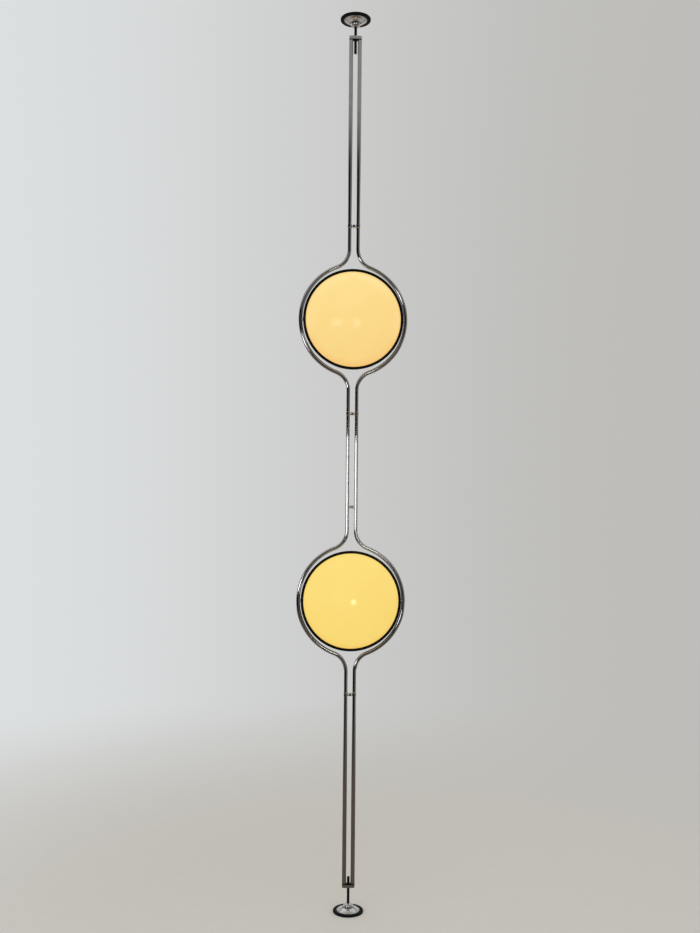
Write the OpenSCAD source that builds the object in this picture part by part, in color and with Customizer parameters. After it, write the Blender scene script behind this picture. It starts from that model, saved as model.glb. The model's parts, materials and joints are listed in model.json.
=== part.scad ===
// Floor-to-ceiling lamp. Two parallel chromed tubes run the height of the room and fork twice into
// round loops. A flat round head with two opal domes turns in each loop. A screw jack at each end
// presses a rubber pad against the floor and the ceiling.
//
// Millimetres. Z is up, X runs across the two tubes and along the pivots, and the front is -Y.
// The origin is the middle of the floor pad's face. Right-hand pieces are at +X, and a left-hand
// piece is the mirror image of its right-hand one.

/* [Pole] */
// Outside diameter of the tubes
tube_d = 12; // [10:0.5:13]
// Wall of the tubes
tube_wall = 1; // [0.8:0.1:1.5]
// Distance between the two tubes, centre to centre
tube_pitch = 25; // [24:0.5:32]
// Length of the two straight tubes at the bottom
bottom_tube_len = 544.5; // [300:0.5:800]
// Length of the two straight tubes between the heads
middle_tube_len = 261; // [150:0.5:500]
// Length of the two straight tubes at the top
top_tube_len = 535.5; // [300:0.5:800]

/* [Loops] */
// Height of a forked tube section
loop_len = 535; // [500:1:600]
// How far past the lamp's centre line the middle of a loop's big bend lies
loop_offset = 10; // [0:1:20]
// Centre-line radius of the bend where the tubes leave each other
neck_bend_r = 55; // [40:1:70]

/* [Tube joints] */
// Height of a joint clamp, and so the gap between two tube sections
clamp_h = 11; // [9:0.5:14]
// Outside diameter of a clamp's two collars
collar_d = 13.4; // [13.2:0.1:15]
// Diameter of the round web between the collars
web_d = 8; // [7:0.5:9]
// Diameter of the ball in the middle of the web
clamp_ball_d = 11; // [10:0.5:12]
// Gap between a clamp's front and back halves
clamp_split = 0.2; // [0.1:0.1:0.6]
// Length of the sleeve inside each tube joint
sleeve_len = 60; // [40:1:90]
// Wall of the sleeves
sleeve_wall = 1.2; // [1:0.1:1.6]
// Thread diameter of the clamp screws
clamp_screw_d = 2.5; // [2:0.5:3]
// Head diameter of the clamp screws
clamp_screw_head_d = 4.5; // [4:0.1:5.5]

/* [Jacks] */
// Height of the lower end cap above the floor
lower_reach = 70; // [60:1:80]
// Distance from the upper end cap to the ceiling
upper_reach = 51; // [40:1:70]
// Height of an end cap
cap_h = 12; // [8:0.5:14]
// Diameter of the threaded boss in an end cap
cap_boss_d = 14; // [13:0.5:16]
// Length of an end cap's spigots inside the tubes
spigot_len = 14; // [8:1:25]
// Thread diameter of the jack screws
screw_d = 8; // [7:0.5:9]
// Length of a jack screw, journal included
screw_len = 88; // [85:1:120]
// Diameter of the plain journal at a jack screw's foot
journal_d = 6; // [5:0.5:6.5]

/* [Pads] */
// Diameter of a rubber pad
pad_d = 88; // [80:1:110]
// Height of a rubber pad at its edge
pad_h = 6; // [5.5:0.5:9]
// Thickness of a rubber pad under the dish
pad_web = 2.5; // [2:0.5:3.5]
// Diameter of the chromed dish
dish_d = 67; // [60:1:74]
// Thickness of the dish
dish_t = 1.2; // [1:0.1:1.6]
// Height of the dish from its rim to its flat top
dish_rise = 7.8; // [6:0.1:10]
// Diameter of the hub on the dish
hub_d = 31; // [28:0.5:36]
// Height of the hub
hub_h = 12; // [11:0.5:16]

/* [Heads] */
// Outside diameter of a head's ring
head_d = 292; // [260:1:320]
// Depth of the ring, front to back
ring_depth = 24; // [22:0.5:30]
// Wall of the ring
ring_wall = 2.4; // [1.5:0.1:3]
// Thickness of the two ledges inside the ring
ledge_t = 1.5; // [1:0.1:2]
// Height of the ledges inside the ring
ledge_h = 5; // [4.5:0.1:6]
// Width of a bezel's face
bezel_w = 4; // [3:0.1:5]
// Thickness of a bezel
bezel_t = 1.6; // [1.2:0.1:2.2]
// How far a dome stands out of the ring
dome_rise = 84; // [60:1:110]
// Wall of the domes
dome_wall = 3; // [2:0.1:4]
// Thickness of a dome's flange
flange_t = 2.2; // [1.8:0.1:2.6]
// Size of the broken edges on chromed pieces
edge = 0.5; // [0.2:0.1:0.8]

/* [Pivots] */
// Gap between a head's ring and the tube beside it
pivot_gap = 1.5; // [1.2:0.1:3]
// Outside diameter of the hollow pivots
pivot_d = 8; // [7:0.5:8.5]
// Bore of the hollow pivots
pivot_bore = 4; // [3.6:0.1:6]
// How far a pivot reaches into its tube
pivot_root = 2; // [1.2:0.1:3]
// Diameter of the pivot washers
pivot_washer_d = 12; // [11:0.1:12.5]
// Thickness of the friction washers inside the ring
spring_washer_t = 1.1; // [0.8:0.1:1.5]
// Width of the pivot nuts across their flats
pivot_nut_af = 10; // [9:0.1:10.5]
// Thickness of the pivot nuts
pivot_nut_h = 4; // [3:0.1:5]

/* [Lamp inside a head] */
// Width of the folded strip that carries the lampholder
strip_w = 12; // [10:0.5:13]
// Thickness of that strip
strip_t = 1.5; // [1.2:0.1:2]
// Width of the strip's raised part
strip_top_w = 19; // [18:1:24]
// Length of the strip's foot
strip_foot_w = 42; // [38:1:60]
// Depth of the lampholder's seat below the head's centre
holder_drop = 101; // [95:1:110]
// Diameter of the lampholder
holder_d = 38; // [34:1:44]
// Height of the lampholder
holder_h = 46; // [40:1:50]
// Diameter of the nipple under the lampholder
holder_nipple_d = 10; // [8:1:10]
// Diameter of the bulb
bulb_d = 60; // [45:1:80]
// Length of the bulb from its contact to its top
bulb_len = 105; // [95:1:125]
// Diameter of the bulb's cap
bulb_cap_d = 26.4; // [25:0.1:27]
// Height of the bulb's cap
bulb_cap_h = 27; // [24:1:30]
// Wall of the bulb's glass and cap
bulb_wall = 1; // [0.6:0.1:1.5]

/* [Wiring] */
// Diameter of the lead inside the tubes
lead_d = 4; // [3.2:0.1:4.5]
// Diameter of the leads that pass through the pivots into the heads
head_lead_d = 3; // [2:0.1:3.1]
// Bend radius of the leads inside a head
lead_bend_r = 12; // [8:1:20]
// Height of the cable inlet above the floor
inlet_z = 120; // [110:1:300]
// Bore of the cable inlet's bush
inlet_bore = 5.2; // [4:0.1:6]
// Wall of the bush
bush_wall = 1.4; // [1:0.1:1.6]

/* [Fits] */
// Radial clearance of pieces that turn or slide in each other
run_fit = 0.05; // [0.02:0.01:0.1]
// Radial clearance of pieces that are fixed in each other
slip_fit = 0.05; // [0.02:0.01:0.1]
// Clearance between pieces that seat face to face round a curve
seat_gap = 0.1; // [0.05:0.05:0.2]
// Clearance between a moving piece and what it passes
move_gap = 0.3; // [0.3:0.05:0.5]

/* [Hidden] */
$fn = 72;

// Heights along the pole, from the floor up
bottom_z = lower_reach + cap_h;
joint_1_z = bottom_z + bottom_tube_len + clamp_h / 2;
lower_head_z = joint_1_z + (clamp_h + loop_len) / 2;
joint_2_z = lower_head_z + (loop_len + clamp_h) / 2;
joint_3_z = joint_2_z + clamp_h + middle_tube_len;
upper_head_z = joint_3_z + (clamp_h + loop_len) / 2;
joint_4_z = upper_head_z + (loop_len + clamp_h) / 2;
top_z = joint_4_z + clamp_h / 2 + top_tube_len;
total_h = top_z + cap_h + upper_reach;
joint_zs = [joint_1_z, joint_2_z, joint_3_z, joint_4_z];
head_zs = [lower_head_z, upper_head_z];

// A loop's centre line: a big bend round the head, and a neck bend at each end that meets it
// smoothly, so the two centres and the meeting point lie on one line
tube_x = tube_pitch / 2;
tube_bore = tube_d - 2 * tube_wall;
ring_r = head_d / 2;
loop_x = ring_r + pivot_gap + tube_d / 2;
loop_r = loop_x + loop_offset;
neck_x = tube_x + neck_bend_r;
neck_z = sqrt(pow(loop_r + neck_bend_r, 2) - pow(neck_x + loop_offset, 2));
neck_angle = atan2(neck_z, neck_x + loop_offset);
neck_len = loop_len / 2 - neck_z;
seam_lap = 0.02;
seam_len = 0.6;
past_pivot = 1;

// Tube joints
sleeve_d = tube_bore - 2 * slip_fit;
clamp_screw_head_h = clamp_screw_d;
screw_floor_t = 1.4;
screw_sink = 0.6;
clamp_screw_x = clamp_split / 2 + screw_floor_t;

// Jack and pad, measured from the pad's face
rim_w = 3.5;
dish_z = pad_h - dish_t - 0.3;
dish_top = dish_z + dish_t + dish_rise;
hub_top = dish_top + hub_h;
hub_flange_h = 1.5;
thrust_z = hub_top - 4.5;
clip_room_z = thrust_z - 4.5;
clip_t = 0.9;
clip_z = clip_room_z - clip_t - 0.1;
clip_groove = 0.5;
clip_d = journal_d + 4;
clip_room_d = clip_d + 2;
journal_end = clip_z - 1.4;
hub_spigot_d = clip_room_d + 3;
screw_top = journal_end + screw_len;

// Head, measured from its centre. Depths are half-depths towards the front or the back
ring_bore_r = ring_r - ring_wall;
face_y = ring_depth / 2;
ledge_y = face_y - bezel_t - flange_t - 2 * seat_gap;
dome_r = ring_bore_r - bezel_w - slip_fit - seat_gap;
dome_sphere_r = (pow(dome_r, 2) + pow(dome_rise, 2)) / (2 * dome_rise);
dome_centre_y = face_y + dome_rise - dome_sphere_r;
dome_bore_r = sqrt(pow(dome_sphere_r - dome_wall, 2) - pow(face_y - dome_centre_y, 2));

// Pivot, measured along X from the head's centre
pivot_outer_x = ring_r + pivot_gap + tube_wall + pivot_root;
spring_washer_x = ring_bore_r - move_gap - spring_washer_t;
pivot_nut_x = spring_washer_x - pivot_nut_h;
pivot_inner_x = pivot_nut_x - 1.2;

// Lampholder and bulb, measured from the head's centre
stud_d = 4;
stud_len = 8;
stud_turn = 5.9;
stud_nut_af = 7;
stud_nut_h = 2.6;
holder_nut_h = 3;
cap_show = 1;
bulb_foot_z = holder_h - holder_drop - bulb_cap_h + cap_show;
bulb_top_z = bulb_foot_z + bulb_len;
bulb_centre_z = bulb_top_z - bulb_d / 2;
bulb_neck_z = bulb_foot_z + bulb_cap_h;

// ---------------------------------------------------------------- placing

module both_sides() {
    children();
    mirror([1, 0, 0]) children();
}

module at_floor() {
    children();
}

module at_ceiling() {
    translate([0, 0, total_h]) mirror([0, 0, 1]) children();
}

module at_height(z) {
    translate([0, 0, z]) children();
}

// A cylinder along +X that starts at x
module x_rod(d, x, len) {
    translate([x, 0, 0]) rotate([0, 90, 0]) cylinder(d = d, h = len);
}

// A hexagon prism along +X with its corners up and down
module x_hex(af, x, len) {
    translate([x, 0, 0]) rotate([0, 90, 0]) cylinder(d = af / cos(30), h = len, $fn = 6);
}

// A profile turned round the head's front-to-back axis. Its first coordinate is the radius,
// and its second the distance towards the front
module turned() {
    rotate([90, 0, 0]) rotate_extrude($fn = 180) children();
}

// A rectangle with its two outer corners broken
module eased(inner, outer, low, high, ease) {
    polygon([
        [inner, low], [outer - ease, low], [outer, low + ease],
        [outer, high - ease], [outer - ease, high], [inner, high]
    ]);
}

// ---------------------------------------------------------------- tubes

module ring_section(d, bore) {
    difference() {
        circle(d = d);
        circle(d = bore);
    }
}

module straight_run(d, z, len) {
    translate([tube_x, 0, z]) cylinder(d = d, h = len);
}

module straight_pipe(d, bore, z, len) {
    translate([tube_x, 0, z]) linear_extrude(len) ring_section(d, bore);
}

// A round bar bent in the XZ plane. Angles are measured from +X towards +Z
module bend(d, r, from, sweep) {
    rotate([90, 0, 0]) rotate([0, 0, from]) rotate_extrude(angle = sweep)
        translate([r, 0]) circle(d = d, $fn = 36);
}

// The neck above the head: a bend, and a straight part up to the next joint. A ring a hair wider
// than the bar closes each seam, where two runs would only touch
module neck_run(d, extra) {
    translate([neck_x, 0, neck_z]) {
        bend(d, neck_bend_r, 180, neck_angle);
        for (turn = [0, neck_angle]) rotate([0, -turn, 0]) translate([-neck_bend_r, 0, 0])
            cylinder(d = d + 2 * seam_lap, h = seam_len, center = true);
    }
    translate([tube_x, 0, loop_len / 2 + extra]) mirror([0, 0, 1]) cylinder(d = d, h = neck_len + extra);
}

// The right-hand loop about the head's centre, from the lower neck up to the upper one, or only
// as far as the pivot. extra lengthens its ends, for a bore that has to come out of them
module loop_run(d, extra = 0, to_pivot = false) {
    translate([-loop_offset, 0, 0])
        bend(d, loop_r, -neck_angle, to_pivot ? neck_angle + past_pivot : 2 * neck_angle);
    mirror([0, 0, 1]) neck_run(d, extra);
    if (!to_pivot) neck_run(d, extra);
}

module straight_tube(z, len) {
    color("silver") straight_pipe(tube_d, tube_bore, z, len);
}

// The bottom right tube has the cable inlet's hole in its back wall
module bottom_tube_right() {
    color("silver") difference() {
        straight_pipe(tube_d, tube_bore, bottom_z, bottom_tube_len);
        translate([tube_x, 0, inlet_z]) rotate([-90, 0, 0])
            cylinder(d = inlet_bore + 2 * bush_wall + 2 * slip_fit, h = tube_d);
    }
}

// A loop tube has a hole for its pivot in the wall that faces the head
module loop_tube(z) {
    color("silver") at_height(z) difference() {
        loop_run(tube_d);
        loop_run(tube_bore, extra = 1);
        x_rod(pivot_d + 2 * slip_fit, ring_r, pivot_gap + tube_d / 2);
    }
}

// ---------------------------------------------------------------- tube joints

module joint_sleeves() {
    color("gainsboro") for (z = joint_zs)
        both_sides() straight_pipe(sleeve_d, sleeve_d - 2 * sleeve_wall, z - sleeve_len / 2, sleeve_len);
}

// Two collars and a round web with a ball in its middle, still in one piece
module clamp_blank() {
    difference() {
        union() {
            both_sides() translate([tube_x, 0, 0]) rotate_extrude()
                eased(0, collar_d / 2, -clamp_h / 2, clamp_h / 2, edge);
            x_rod(web_d, -tube_x, tube_pitch);
            sphere(d = clamp_ball_d);
        }
        both_sides() translate([tube_x, 0, 0])
            cylinder(d = sleeve_d + 2 * slip_fit, h = 2 * clamp_h, center = true);
    }
}

// side is -1 for the front half and 1 for the back half
module clamp_half(side, z) {
    reach = 2 * tube_d;
    color("silver") at_height(z) difference() {
        intersection() {
            clamp_blank();
            translate([0, side * (reach + clamp_split) / 2, 0])
                cube([4 * tube_pitch, reach, 2 * clamp_h], center = true);
        }
        rotate([90, 0, 0]) cylinder(d = clamp_screw_d + 2 * slip_fit, h = 2 * tube_d, center = true);
        if (side < 0) translate([0, -clamp_screw_x, 0]) rotate([90, 0, 0])
            cylinder(d = clamp_screw_head_d + 2 * move_gap, h = tube_d);
    }
}

// One screw draws a clamp's halves together from the front. Its head lies sunk in the ball
module clamp_screws() {
    color("dimgray") for (z = joint_zs) at_height(z) difference() {
        union() {
            translate([0, -clamp_screw_x - slip_fit, 0]) rotate([90, 0, 0])
                cylinder(d = clamp_screw_head_d, h = clamp_screw_head_h);
            translate([0, -clamp_screw_x - slip_fit, 0]) rotate([-90, 0, 0])
                cylinder(d = clamp_screw_d, h = clamp_screw_x + clamp_ball_d / 2 - screw_sink);
        }
        translate([0, -clamp_screw_x - clamp_screw_head_h / 2, 0]) rotate([90, 0, 0])
            cylinder(d = clamp_screw_head_d / 2, h = clamp_screw_head_h, $fn = 6);
    }
}

// ---------------------------------------------------------------- jacks and pads

// A bar with round ends over both tubes, with a threaded boss and a spigot into each tube.
// It is drawn with its outer face at zero and its spigots upwards
module end_cap() {
    color("silver") difference() {
        union() {
            both_sides() translate([tube_x, 0, 0]) rotate_extrude() eased(0, tube_d / 2, 0, cap_h, edge);
            rotate([90, 0, 90]) linear_extrude(tube_pitch, center = true) {
                eased(0, tube_d / 2, 0, cap_h, edge);
                mirror([1, 0]) eased(0, tube_d / 2, 0, cap_h, edge);
            }
            rotate_extrude() eased(0, cap_boss_d / 2, 0, cap_h, edge);
            both_sides() translate([tube_x, 0, cap_h / 2])
                cylinder(d = tube_bore - 2 * slip_fit, h = cap_h / 2 + spigot_len);
        }
        translate([0, 0, -1]) cylinder(d = screw_d + 2 * run_fit, h = cap_h + 2);
    }
}

// The thread is drawn at its outer diameter. The journal turns in the hub, the shoulder above it
// takes the thrust, and a groove holds the clip
module jack_screw() {
    color([0.13, 0.13, 0.14]) difference() {
        rotate_extrude() {
            polygon([
                [0, thrust_z + seat_gap], [screw_d / 2, thrust_z + seat_gap],
                [screw_d / 2, screw_top - 1], [screw_d / 2 - 1, screw_top], [0, screw_top]
            ]);
            translate([0, journal_end]) square([journal_d / 2, thrust_z + 1 - journal_end]);
        }
        translate([0, 0, clip_z - 0.05]) rotate_extrude()
            translate([journal_d / 2 - clip_groove, 0]) square([journal_d, clip_t + 0.1]);
    }
}

// An open ring that keeps the journal in the hub
module screw_clip() {
    color("gray") translate([0, 0, clip_z]) difference() {
        cylinder(d = clip_d, h = clip_t);
        translate([0, 0, -1]) cylinder(d = journal_d - 2 * clip_groove + 2 * slip_fit, h = clip_t + 2);
        translate([0, -journal_d / 3, -1]) cube([clip_d, journal_d / 1.5, clip_t + 2]);
    }
}

// A domed hub. A collar under it is spun over beneath the dish and holds the two together
module hub() {
    lip_w = 1.6;
    lip_h = 1.2;
    bell_r = hub_h - hub_flange_h;
    color("silver") difference() {
        rotate_extrude() {
            translate([0, dish_top]) square([hub_d / 2, hub_flange_h]);
            translate([0, dish_top + hub_flange_h]) intersection() {
                square([hub_d / 2, bell_r]);
                union() {
                    translate([hub_d / 2 - bell_r, 0]) circle(r = bell_r);
                    square([hub_d / 2 - bell_r, bell_r]);
                }
            }
            translate([0, dish_top - dish_t - seat_gap - lip_h]) {
                square([hub_spigot_d / 2, dish_t + seat_gap + lip_h]);
                square([hub_spigot_d / 2 + lip_w, lip_h]);
            }
        }
        translate([0, 0, dish_z]) cylinder(d = clip_room_d, h = clip_room_z - dish_z);
        translate([0, 0, dish_z]) cylinder(d = journal_d + 2 * run_fit, h = hub_h * 2);
        translate([0, 0, thrust_z]) cylinder(d = screw_d + 2 * run_fit, h = hub_h);
    }
}

// A pressed dish: a flat rim, a spherical slope and a flat top under the hub
module dish() {
    rim_r = dish_d / 2 - rim_w;
    top_r = hub_d / 2 + 0.6;
    rim_top = dish_z + dish_t;
    centre_z = (pow(rim_r, 2) - pow(top_r, 2) + pow(rim_top, 2) - pow(dish_top, 2))
        / (2 * (rim_top - dish_top));
    slope_r = norm([rim_r, rim_top - centre_z]);
    color("silver") rotate_extrude() difference() {
        union() {
            translate([rim_r - dish_t, dish_z]) square([rim_w + dish_t, dish_t]);
            intersection() {
                translate([0, centre_z]) ring_section(2 * slope_r, 2 * (slope_r - dish_t));
                translate([0, dish_z]) square([rim_r, dish_top - dish_z]);
            }
            translate([0, dish_top - dish_t]) square([top_r, dish_t]);
        }
        translate([-1, 0]) square([hub_spigot_d / 2 + slip_fit + 1, total_h]);
    }
}

module pad() {
    fillet_r = 2;
    pad_r = pad_d / 2;
    seat_r = dish_d / 2 + 0.4;
    color([0.06, 0.06, 0.065]) rotate_extrude() difference() {
        union() {
            eased(0, pad_r, 0, pad_h - fillet_r, 0.8);
            square([pad_r - fillet_r, pad_h]);
            translate([pad_r - fillet_r, pad_h - fillet_r]) circle(r = fillet_r);
        }
        translate([-1, dish_z]) square([seat_r + 1, pad_h]);
        translate([-1, pad_web]) square([dish_d / 2 - rim_w + 1, pad_h]);
    }
}

// ---------------------------------------------------------------- heads

// A band with two ledges inside. A weld stud each side of the bottom holds the lampholder's strip
module head_ring() {
    color("silver") difference() {
        union() {
            turned() {
                eased(ring_bore_r, ring_r, -face_y, face_y, edge);
                for (s = [-1, 1]) translate([ring_bore_r - ledge_h, s * (ledge_y - ledge_t / 2) - ledge_t / 2])
                    square([ledge_h + ring_wall / 2, ledge_t]);
            }
            both_sides() rotate([0, stud_turn, 0]) translate([0, 0, -(ring_r - ring_wall / 2)])
                cylinder(d = stud_d, h = ring_wall / 2 + stud_len);
        }
        both_sides() x_rod(pivot_d + 2 * run_fit, ring_bore_r - 2, ring_wall + 4);
    }
}

// Half of a round-nosed profile: straight up to where it meets the sphere, then along the sphere
module nosed(r, from_y, sphere_r) {
    intersection() {
        translate([0, dome_centre_y]) circle(r = sphere_r, $fn = 180);
        translate([0, from_y]) square([r, face_y + 2 * dome_rise]);
    }
}

// An opal dome: a flange that rests on a ledge, a short neck through the bezel, and a spherical cap
module front_dome() {
    flange_y = ledge_y + seat_gap;
    color([1, 0.86, 0.52]) turned() difference() {
        union() {
            translate([0, flange_y]) square([ring_bore_r - move_gap, flange_t]);
            nosed(dome_r, flange_y, dome_sphere_r);
        }
        nosed(dome_bore_r, flange_y - 1, dome_sphere_r - dome_wall);
    }
}

// A flat ring sprung into the band in front of a dome's flange
module front_bezel() {
    inner = ring_bore_r - slip_fit - bezel_w;
    outer = ring_bore_r - slip_fit;
    color("silver") turned() polygon([
        [inner, face_y - bezel_t], [outer, face_y - bezel_t], [outer, face_y - edge / 2],
        [outer - edge / 2, face_y], [inner + edge, face_y], [inner, face_y - edge]
    ]);
}

// A strip folded into a raised bridge, with a curved foot each side that lies on the ring
module holder_bracket() {
    foot_r = ring_bore_r - seat_gap;
    color("silver") difference() {
        rotate([90, 0, 0]) linear_extrude(strip_w, center = true) intersection() {
            circle(r = foot_r, $fn = 180);
            union() {
                intersection() {
                    ring_section(2 * foot_r + 2, 2 * (foot_r - strip_t), $fn = 180);
                    for (s = [-1, 1]) translate([s * (strip_foot_w + strip_top_w) / 4, -ring_r / 2])
                        square([(strip_foot_w - strip_top_w) / 2 + strip_t, ring_r], center = true);
                }
                for (s = [-1, 1]) translate([s * (strip_top_w - strip_t) / 2 - strip_t / 2, -ring_r])
                    square([strip_t, ring_r - holder_drop]);
                translate([-strip_top_w / 2, -holder_drop - strip_t]) square([strip_top_w, strip_t]);
            }
        }
        both_sides() rotate([0, stud_turn, 0]) translate([0, 0, -ring_r])
            cylinder(d = stud_d + 2 * seat_gap, h = 2 * stud_len);
        translate([0, 0, -holder_drop - 2 * strip_t])
            cylinder(d = holder_nipple_d + 2 * seat_gap, h = 3 * strip_t);
    }
}

// Two nuts on the weld studs, and the lampholder's own nut under the bridge
module head_nuts() {
    stud_seat = ring_bore_r - seat_gap - strip_t - seat_gap;
    color("gainsboro") {
        both_sides() rotate([0, stud_turn, 0]) translate([0, 0, -stud_seat]) difference() {
            cylinder(d = stud_nut_af / cos(30), h = stud_nut_h, $fn = 6);
            translate([0, 0, -1]) cylinder(d = stud_d + 2 * slip_fit, h = stud_nut_h + 2);
        }
        translate([0, 0, -holder_drop - strip_t - holder_nut_h]) difference() {
            cylinder(d = (holder_nipple_d + 4) / cos(30), h = holder_nut_h, $fn = 6);
            translate([0, 0, -1]) cylinder(d = holder_nipple_d + 2 * slip_fit, h = holder_nut_h + 2);
        }
    }
}

module lampholder() {
    socket_z = bulb_foot_z - move_gap;
    shoulder = 4;
    color("ivory") rotate_extrude() difference() {
        union() {
            translate([0, -holder_drop]) polygon([
                [0, 0], [holder_d / 2 - shoulder, 0], [holder_d / 2, shoulder],
                [holder_d / 2, holder_h - 8], [holder_d / 2 - 1.5, holder_h - 6],
                [holder_d / 2 - 1.5, holder_h], [0, holder_h]
            ]);
            translate([0, -holder_drop - strip_t - holder_nut_h - 2])
                square([holder_nipple_d / 2, strip_t + holder_nut_h + 3]);
        }
        translate([-1, socket_z]) square([bulb_cap_d / 2 + move_gap + 1, holder_h]);
    }
}

// The bulb's outline, drawn in by a wall's thickness for its hollow. The neck's sides are tangents
// to the round glass
module bulb_outline(inset) {
    r = bulb_d / 2 - inset;
    foot = [bulb_cap_d / 2 - inset, bulb_neck_z];
    centre = [0, bulb_centre_z];
    to_foot = foot - centre;
    angle = atan2(to_foot[1], to_foot[0]) + acos(r / norm(to_foot));
    intersection() {
        union() {
            translate(centre) circle(r = r);
            polygon([[0, foot[1]], foot, centre + r * [cos(angle), sin(angle)], centre]);
            translate([0, bulb_foot_z + 3 + inset]) square([foot[0], bulb_cap_h - 3 - inset + 0.01]);
            translate([0, bulb_foot_z + inset]) square([5 - inset, 4]);
        }
        translate([0, bulb_foot_z - 1]) square([bulb_d, bulb_len + 2]);
    }
}

// Glass and cap with the hollow inside, open at the small hole in the contact
module bulb() {
    color([1, 0.97, 0.85]) rotate_extrude() difference() {
        bulb_outline(0);
        bulb_outline(bulb_wall);
        translate([0, bulb_foot_z - 1]) square([1, 4]);
    }
}

// ---------------------------------------------------------------- pivots and wiring

module each_pivot() {
    for (z = head_zs) at_height(z) both_sides() children();
}

// Hollow stubs brazed into the loop tubes. The leads pass through them
module pivots() {
    color("silver") each_pivot() difference() {
        x_rod(pivot_d, pivot_inner_x, pivot_outer_x - pivot_inner_x);
        x_rod(pivot_bore, pivot_inner_x - 1, pivot_outer_x - pivot_inner_x + 2);
    }
}

module pivot_ring(x, len) {
    difference() {
        x_rod(pivot_washer_d, x, len);
        x_rod(pivot_d + 2 * slip_fit, x - 1, len + 2);
    }
}

module pivot_washers() {
    color([0.9, 0.9, 0.86]) each_pivot() pivot_ring(ring_r + move_gap, pivot_gap - 2 * move_gap);
}

module pivot_spring_washers() {
    color("gray") each_pivot() pivot_ring(spring_washer_x, spring_washer_t);
}

module pivot_nuts() {
    color("gainsboro") each_pivot() difference() {
        x_hex(pivot_nut_af, pivot_nut_x, pivot_nut_h);
        x_rod(pivot_d + 2 * slip_fit, pivot_nut_x - 1, pivot_nut_h + 2);
    }
}

// A bush in the back of the bottom right tube, for the mains cord
module cable_bush() {
    barrel_d = inlet_bore + 2 * bush_wall;
    barrel_y = tube_d / 4;
    flange_y = tube_d / 2 + seat_gap;
    flange_h = 2;
    color([0.07, 0.07, 0.07]) translate([tube_x, 0, inlet_z]) rotate([-90, 0, 0]) difference() {
        union() {
            translate([0, 0, barrel_y]) cylinder(d = barrel_d, h = flange_y + flange_h - barrel_y);
            translate([0, 0, flange_y]) cylinder(d = barrel_d + 3, h = flange_h);
        }
        cylinder(d = inlet_bore, h = 2 * tube_d);
    }
}

// The lead up the right-hand tubes, with a branch through the right-hand pivot of each head
module power_lead() {
    branch_len = loop_x - pivot_inner_x;
    color("dimgray") {
        straight_run(lead_d, inlet_z, lower_head_z - loop_len / 2 - inlet_z);
        at_height(lower_head_z) loop_run(lead_d);
        straight_run(lead_d, lower_head_z + loop_len / 2, upper_head_z - lower_head_z - loop_len);
        at_height(upper_head_z) loop_run(lead_d, to_pivot = true);
        for (z = head_zs) at_height(z) x_rod(head_lead_d, pivot_inner_x, branch_len);
    }
}

// From the right-hand pivot down and across to the lampholder's side
module head_lead() {
    lead_z = bulb_foot_z - 6;
    drop_x = pivot_inner_x - move_gap - 2.5 * lead_bend_r;
    start_x = drop_x + lead_bend_r;
    end_x = holder_d / 2 + move_gap;
    color("dimgray") {
        x_rod(head_lead_d, start_x, pivot_inner_x - move_gap - start_x);
        translate([start_x, 0, -lead_bend_r]) bend(head_lead_d, lead_bend_r, 90, 90);
        translate([drop_x, 0, lead_z + lead_bend_r]) cylinder(d = head_lead_d, h = -lead_z - 2 * lead_bend_r);
        translate([drop_x - lead_bend_r, 0, lead_z + lead_bend_r]) bend(head_lead_d, lead_bend_r, 270, 90);
        translate([0, 0, lead_z]) x_rod(head_lead_d, end_x, drop_x - lead_bend_r - end_x);
    }
}

// ---------------------------------------------------------------- nodes

at_floor() pad();  // lower_pad
at_floor() dish();  // lower_dish
at_floor() hub();  // lower_hub
at_floor() jack_screw();  // lower_jack_screw
at_floor() screw_clip();  // lower_screw_clip
at_ceiling() pad();  // upper_pad
at_ceiling() dish();  // upper_dish
at_ceiling() hub();  // upper_hub
at_ceiling() jack_screw();  // upper_jack_screw
at_ceiling() screw_clip();  // upper_screw_clip

at_height(lower_reach) end_cap();  // lower_end_cap
at_ceiling() at_height(upper_reach) end_cap();  // upper_end_cap

mirror([1, 0, 0]) straight_tube(bottom_z, bottom_tube_len);  // bottom_tube_left
bottom_tube_right();
mirror([1, 0, 0]) loop_tube(lower_head_z);  // lower_loop_tube_left
loop_tube(lower_head_z);  // lower_loop_tube_right
mirror([1, 0, 0]) straight_tube(joint_2_z + clamp_h / 2, middle_tube_len);  // middle_tube_left
straight_tube(joint_2_z + clamp_h / 2, middle_tube_len);  // middle_tube_right
mirror([1, 0, 0]) loop_tube(upper_head_z);  // upper_loop_tube_left
loop_tube(upper_head_z);  // upper_loop_tube_right
mirror([1, 0, 0]) straight_tube(joint_4_z + clamp_h / 2, top_tube_len);  // top_tube_left
straight_tube(joint_4_z + clamp_h / 2, top_tube_len);  // top_tube_right

joint_sleeves();
clamp_half(-1, joint_1_z);  // clamp_front_1
clamp_half(-1, joint_2_z);  // clamp_front_2
clamp_half(-1, joint_3_z);  // clamp_front_3
clamp_half(-1, joint_4_z);  // clamp_front_4
clamp_half(1, joint_1_z);  // clamp_back_1
clamp_half(1, joint_2_z);  // clamp_back_2
clamp_half(1, joint_3_z);  // clamp_back_3
clamp_half(1, joint_4_z);  // clamp_back_4
clamp_screws();

pivots();
pivot_washers();
pivot_spring_washers();
pivot_nuts();
cable_bush();
power_lead();

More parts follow.
